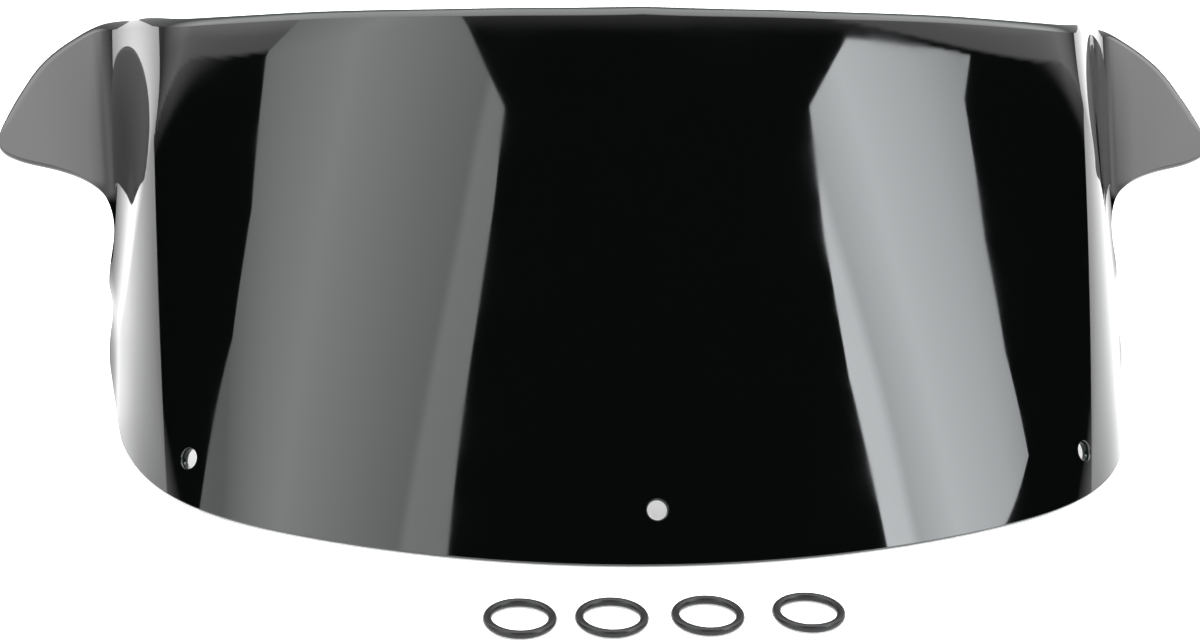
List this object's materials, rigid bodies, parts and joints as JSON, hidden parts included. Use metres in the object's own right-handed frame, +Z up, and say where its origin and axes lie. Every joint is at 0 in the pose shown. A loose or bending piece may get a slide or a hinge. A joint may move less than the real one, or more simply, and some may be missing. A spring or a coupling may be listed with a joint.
{
  "type": "motorcycle windshield",
  "caption": "Fairing windshield: a dark wrap-around acrylic screen with flared upper ears and mounting holes, and the loose rubber mounting rings that come with it.",
  "frame": {"origin": "middle of the flat bottom edge, on the ground that the screen stands on, halfway through the sheet's thickness", "axes": "+Z up, the screen's convex front faces -Y, +X is to the right of someone who looks at the front"},
  "size_m": [0.6628, 0.3869, 0.2233],
  "materials": {
    "smoked_acrylic": "polished gloss, black to the eye with a dark green cut edge",
    "black_rubber": "smooth moulded rubber with a soft sheen"
  },
  "bodies": {
    "screen": {"screen": "smoked_acrylic"},
    "ring_1": {"mounting_ring_1": "black_rubber"},
    "ring_2": {"mounting_ring_2": "black_rubber"},
    "ring_3": {"mounting_ring_3": "black_rubber"},
    "ring_4": {"mounting_ring_4": "black_rubber"}
  },
  "joints": [
    {"name": "ring_1_lift", "type": "slide", "parent": "screen", "child": "ring_1", "axis": [0, 0, 1], "range_m": [0, 0.12]},
    {"name": "ring_2_lift", "type": "slide", "parent": "screen", "child": "ring_2", "axis": [0, 0, 1], "range_m": [0, 0.12]},
    {"name": "ring_3_lift", "type": "slide", "parent": "screen", "child": "ring_3", "axis": [0, 0, 1], "range_m": [0, 0.12]},
    {"name": "ring_4_lift", "type": "slide", "parent": "screen", "child": "ring_4", "axis": [0, 0, 1], "range_m": [0, 0.12]}
  ]
}
